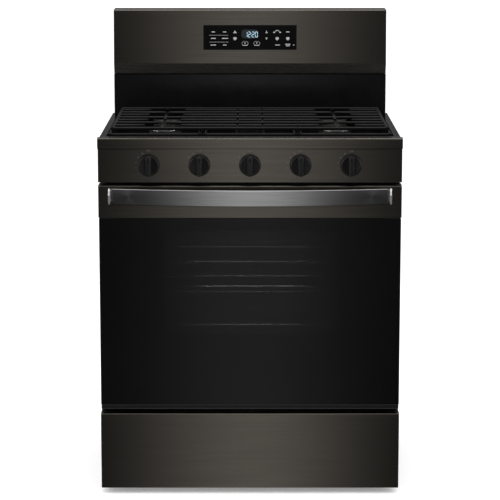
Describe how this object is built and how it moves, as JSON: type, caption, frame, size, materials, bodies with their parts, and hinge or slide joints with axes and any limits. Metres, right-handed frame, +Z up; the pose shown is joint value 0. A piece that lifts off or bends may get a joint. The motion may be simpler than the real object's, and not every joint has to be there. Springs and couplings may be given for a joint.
{
  "type": "freestanding gas range",
  "caption": "Freestanding gas range with a sunken cooktop, cast grates, front knobs, a drop-down glass oven door with a bowed handle, a storage drawer and a raised rear console.",
  "frame": {"origin": "floor level, in the middle of the overall width and depth", "axes": "+Z up, -Y out of the front with the door and knobs, +X to the right seen from the front"},
  "size_m": [0.759, 0.705, 1.195],
  "materials": {
    "black_steel": "dark bronze-black brushed stainless",
    "black_paint": "satin black paint on sheet steel",
    "galvanised": "zinc-coated sheet steel",
    "porcelain": "glossy black porcelain enamel on steel",
    "cavity_enamel": "speckled dark oven enamel on steel",
    "cast_iron": "matt black enamelled cast iron",
    "burner_alloy": "cast aluminium, heat-stained",
    "black_glass": "glossy black tinted glass",
    "clear_glass": "clear tempered glass",
    "bright_steel": "bright plated steel",
    "knob_plastic": "black moulded plastic",
    "rubber": "black rubber",
    "brass": "turned brass"
  },
  "bodies": {
    "range_body": {"backguard_console": "black_steel", "backguard_shell": "black_paint", "backguard_splash": "porcelain", "bake_burner": "bright_steel", "base_pan": "galvanised", "broil_burner": "bright_steel", "burner_base_centre": "burner_alloy", "burner_base_front_left": "burner_alloy", "burner_base_front_right": "burner_alloy", "burner_base_rear_left": "burner_alloy", "burner_base_rear_right": "burner_alloy", "burner_cap_centre": "cast_iron", "burner_cap_front_left": "cast_iron", "burner_cap_front_right": "cast_iron", "burner_cap_rear_left": "cast_iron", "burner_cap_rear_right": "cast_iron", "control_panel": "black_steel", "cooktop": "porcelain", "door_gasket": "rubber", "front_frame": "cavity_enamel", "gas_manifold": "galvanised", "hinge_arm_left": "bright_steel", "hinge_arm_right": "bright_steel", "leveling_foot_front_left": "rubber", "leveling_foot_front_right": "rubber", "leveling_foot_rear_left": "rubber", "leveling_foot_rear_right": "rubber", "oven_floor": "cavity_enamel", "oven_light_lens": "clear_glass", "oven_liner": "cavity_enamel", "pressure_regulator": "galvanised", "rear_panel": "galvanised", "side_panel_left": "black_paint", "side_panel_right": "black_paint", "touch_panel": "black_glass"},
    "oven_door": {"door_glass": "black_glass", "door_frame": "black_paint", "door_top_trim": "black_steel", "door_liner": "cavity_enamel", "door_inner_glass": "clear_glass", "door_handle": "black_steel", "handle_bracket_left": "bright_steel", "handle_bracket_right": "bright_steel"},
    "storage_drawer": {"drawer_front": "black_steel", "drawer_tray": "galvanised"},
    "upper_rack": {"oven_rack_upper": "bright_steel"},
    "lower_rack": {"oven_rack_lower": "bright_steel"},
    "left_grate": {"grate_left": "cast_iron"},
    "centre_grate": {"grate_centre": "cast_iron"},
    "right_grate": {"grate_right": "cast_iron"},
    "stem_1": {"valve_stem_1": "brass"},
    "dial_1": {"knob_1": "knob_plastic"},
    "stem_2": {"valve_stem_2": "brass"},
    "dial_2": {"knob_2": "knob_plastic"},
    "stem_3": {"valve_stem_3": "brass"},
    "dial_3": {"knob_3": "knob_plastic"},
    "stem_4": {"valve_stem_4": "brass"},
    "dial_4": {"knob_4": "knob_plastic"},
    "stem_5": {"valve_stem_5": "brass"},
    "dial_5": {"knob_5": "knob_plastic"}
  },
  "joints": [
    {"name": "door_hinge", "type": "hinge", "parent": "range_body", "child": "oven_door", "pos_m": [0, -0.27, 0.245], "axis": [1, 0, 0], "range_deg": [0, 90], "stiffness_Nm_per_rad": 8, "springref_deg": -34.38},
    {"name": "drawer_slide", "type": "slide", "parent": "range_body", "child": "storage_drawer", "axis": [0, -1, 0], "range_m": [0, 0.33]},
    {"name": "upper_rack_slide", "type": "slide", "parent": "range_body", "child": "upper_rack", "axis": [0, -1, 0], "range_m": [0, 0.022]},
    {"name": "lower_rack_slide", "type": "slide", "parent": "range_body", "child": "lower_rack", "axis": [0, -1, 0], "range_m": [0, 0.022]},
    {"name": "left_grate_lift", "type": "slide", "parent": "range_body", "child": "left_grate", "axis": [0, 0, 1], "range_m": [0, 0.12]},
    {"name": "centre_grate_lift", "type": "slide", "parent": "range_body", "child": "centre_grate", "axis": [0, 0, 1], "range_m": [0, 0.12]},
    {"name": "right_grate_lift", "type": "slide", "parent": "range_body", "child": "right_grate", "axis": [0, 0, 1], "range_m": [0, 0.12]},
    {"name": "stem_1_push", "type": "slide", "parent": "range_body", "child": "stem_1", "axis": [0, 1, 0], "range_m": [0, 0.003], "stiffness_N_per_m": 800, "springref_m": -0.002},
    {"name": "dial_1_turn", "type": "hinge", "parent": "stem_1", "child": "dial_1", "pos_m": [-0.2514, -0.31, 0.846], "axis": [0, -1, 0], "range_deg": [0, 250]},
    {"name": "stem_2_push", "type": "slide", "parent": "range_body", "child": "stem_2", "axis": [0, 1, 0], "range_m": [0, 0.003], "stiffness_N_per_m": 800, "springref_m": -0.002},
    {"name": "dial_2_turn", "type": "hinge", "parent": "stem_2", "child": "dial_2", "pos_m": [-0.1257, -0.31, 0.846], "axis": [0, -1, 0], "range_deg": [0, 250]},
    {"name": "stem_3_push", "type": "slide", "parent": "range_body", "child": "stem_3", "axis": [0, 1, 0], "range_m": [0, 0.003], "stiffness_N_per_m": 800, "springref_m": -0.002},
    {"name": "dial_3_turn", "type": "hinge", "parent": "stem_3", "child": "dial_3", "pos_m": [0, -0.31, 0.846], "axis": [0, -1, 0], "range_deg": [0, 250]},
    {"name": "stem_4_push", "type": "slide", "parent": "range_body", "child": "stem_4", "axis": [0, 1, 0], "range_m": [0, 0.003], "stiffness_N_per_m": 800, "springref_m": -0.002},
    {"name": "dial_4_turn", "type": "hinge", "parent": "stem_4", "child": "dial_4", "pos_m": [0.1257, -0.31, 0.846], "axis": [0, -1, 0], "range_deg": [0, 250]},
    {"name": "stem_5_push", "type": "slide", "parent": "range_body", "child": "stem_5", "axis": [0, 1, 0], "range_m": [0, 0.003], "stiffness_N_per_m": 800, "springref_m": -0.002},
    {"name": "dial_5_turn", "type": "hinge", "parent": "stem_5", "child": "dial_5", "pos_m": [0.2514, -0.31, 0.846], "axis": [0, -1, 0], "range_deg": [0, 250]}
  ]
}
